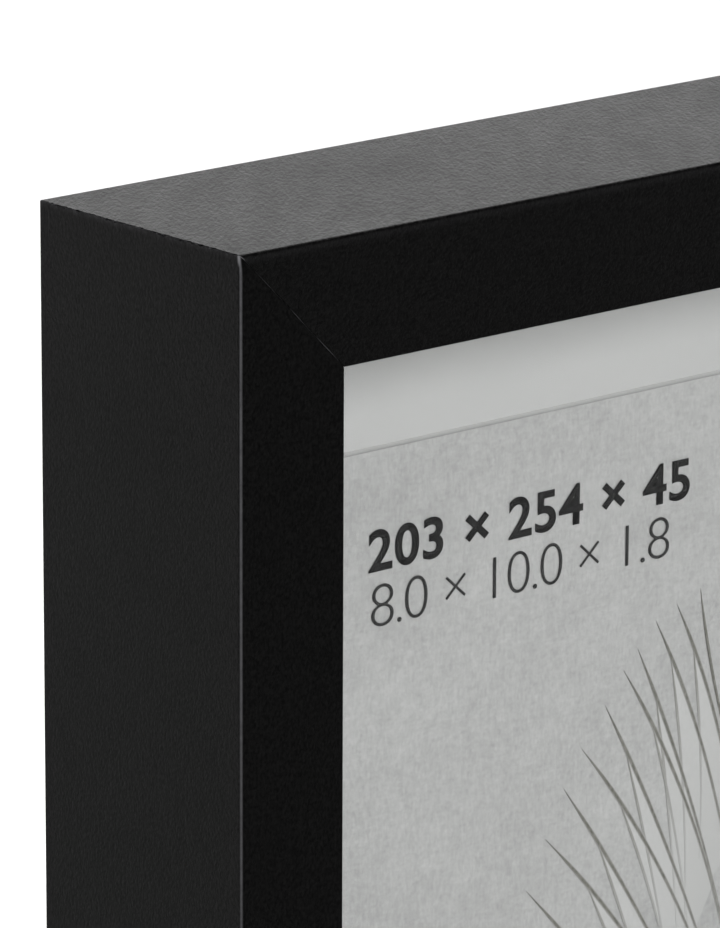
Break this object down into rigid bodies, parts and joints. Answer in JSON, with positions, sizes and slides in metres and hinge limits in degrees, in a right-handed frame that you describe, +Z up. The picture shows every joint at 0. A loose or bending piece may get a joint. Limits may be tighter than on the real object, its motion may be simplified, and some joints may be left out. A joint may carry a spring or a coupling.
{
  "type": "shadow box frame",
  "caption": "Deep black picture frame that works as a display case: mitred box moulding, glass, white spacers, bevelled mat, print, removable back and swinging wall hangers.",
  "frame": {"origin": "centre of the frame's footprint on the table, under its bottom rail", "axes": "+Z up, the glass faces -Y, +X is the right-hand side seen from the front"},
  "size_m": [0.233, 0.045, 0.284],
  "materials": {
    "black_foil": "satin black decor foil wrapped on fibreboard",
    "clear_glass": "clear polished",
    "spacer_card": "matte white faced board",
    "mat_card": "matte white with a bevelled white core",
    "print_paper": "matte printed, light grey linen ground",
    "hardboard": "bare brown fibreboard",
    "plated_steel": "nickel plated",
    "rivet_steel": "zinc plated",
    "tab_steel": "plain spring strip",
    "nail_steel": "plain strip"
  },
  "bodies": {
    "frame": {"rail_top": "black_foil", "rail_bottom": "black_foil", "stile_left": "black_foil", "stile_right": "black_foil", "corner_nails": "nail_steel", "glass_pane": "clear_glass", "spacer_top": "spacer_card", "spacer_bottom": "spacer_card", "spacer_left": "spacer_card", "spacer_right": "spacer_card", "tab_roots": "tab_steel"},
    "back": {"mat_board": "mat_card", "print_sheet": "print_paper", "backing_board": "hardboard", "hanger_plate_top": "plated_steel", "hanger_plate_side": "plated_steel", "hanger_rivets": "rivet_steel"},
    "ring_top": {"hanger_ring_top": "plated_steel"},
    "ring_side": {"hanger_ring_side": "plated_steel"},
    "tab_bottom_1": {"tab_bottom_1": "tab_steel"},
    "tab_bottom_2": {"tab_bottom_2": "tab_steel"},
    "tab_left_1": {"tab_left_1": "tab_steel"},
    "tab_left_2": {"tab_left_2": "tab_steel"},
    "tab_left_3": {"tab_left_3": "tab_steel"},
    "tab_right_1": {"tab_right_1": "tab_steel"},
    "tab_right_2": {"tab_right_2": "tab_steel"},
    "tab_right_3": {"tab_right_3": "tab_steel"},
    "tab_top_1": {"tab_top_1": "tab_steel"},
    "tab_top_2": {"tab_top_2": "tab_steel"}
  },
  "joints": [
    {"name": "back_slide", "type": "slide", "parent": "frame", "child": "back", "axis": [0, 1, 0], "range_m": [0, 0.06], "deforming": ["tab_bottom_1", "tab_bottom_2", "tab_left_1", "tab_left_2", "tab_left_3", "tab_right_1", "tab_right_2", "tab_right_3", "tab_top_1", "tab_top_2"]},
    {"name": "ring_top_swing", "type": "hinge", "parent": "back", "child": "ring_top", "pos_m": [0, 0.01645, 0.244], "axis": [1, 0, 0], "range_deg": [0, 175]},
    {"name": "ring_side_swing", "type": "hinge", "parent": "back", "child": "ring_side", "pos_m": [0.0765, 0.01645, 0.142], "axis": [0, 0, -1], "range_deg": [0, 175]},
    {"name": "tab_bottom_1_bend", "type": "hinge", "parent": "frame", "child": "tab_bottom_1", "pos_m": [-0.06, 0.01555, 0.014], "axis": [-1, 0, 0], "range_deg": [0, 90]},
    {"name": "tab_bottom_2_bend", "type": "hinge", "parent": "frame", "child": "tab_bottom_2", "pos_m": [0.06, 0.01555, 0.014], "axis": [-1, 0, 0], "range_deg": [0, 90]},
    {"name": "tab_left_1_bend", "type": "hinge", "parent": "frame", "child": "tab_left_1", "pos_m": [-0.1025, 0.01555, 0.227], "axis": [0, 0, 1], "range_deg": [0, 90]},
    {"name": "tab_left_2_bend", "type": "hinge", "parent": "frame", "child": "tab_left_2", "pos_m": [-0.1025, 0.01555, 0.142], "axis": [0, 0, 1], "range_deg": [0, 90]},
    {"name": "tab_left_3_bend", "type": "hinge", "parent": "frame", "child": "tab_left_3", "pos_m": [-0.1025, 0.01555, 0.057], "axis": [0, 0, 1], "range_deg": [0, 90]},
    {"name": "tab_right_1_bend", "type": "hinge", "parent": "frame", "child": "tab_right_1", "pos_m": [0.1025, 0.01555, 0.227], "axis": [0, 0, -1], "range_deg": [0, 90]},
    {"name": "tab_right_2_bend", "type": "hinge", "parent": "frame", "child": "tab_right_2", "pos_m": [0.1025, 0.01555, 0.142], "axis": [0, 0, -1], "range_deg": [0, 90]},
    {"name": "tab_right_3_bend", "type": "hinge", "parent": "frame", "child": "tab_right_3", "pos_m": [0.1025, 0.01555, 0.057], "axis": [0, 0, -1], "range_deg": [0, 90]},
    {"name": "tab_top_1_bend", "type": "hinge", "parent": "frame", "child": "tab_top_1", "pos_m": [-0.06, 0.01555, 0.27], "axis": [1, 0, 0], "range_deg": [0, 90]},
    {"name": "tab_top_2_bend", "type": "hinge", "parent": "frame", "child": "tab_top_2", "pos_m": [0.06, 0.01555, 0.27], "axis": [1, 0, 0], "range_deg": [0, 90]}
  ]
}
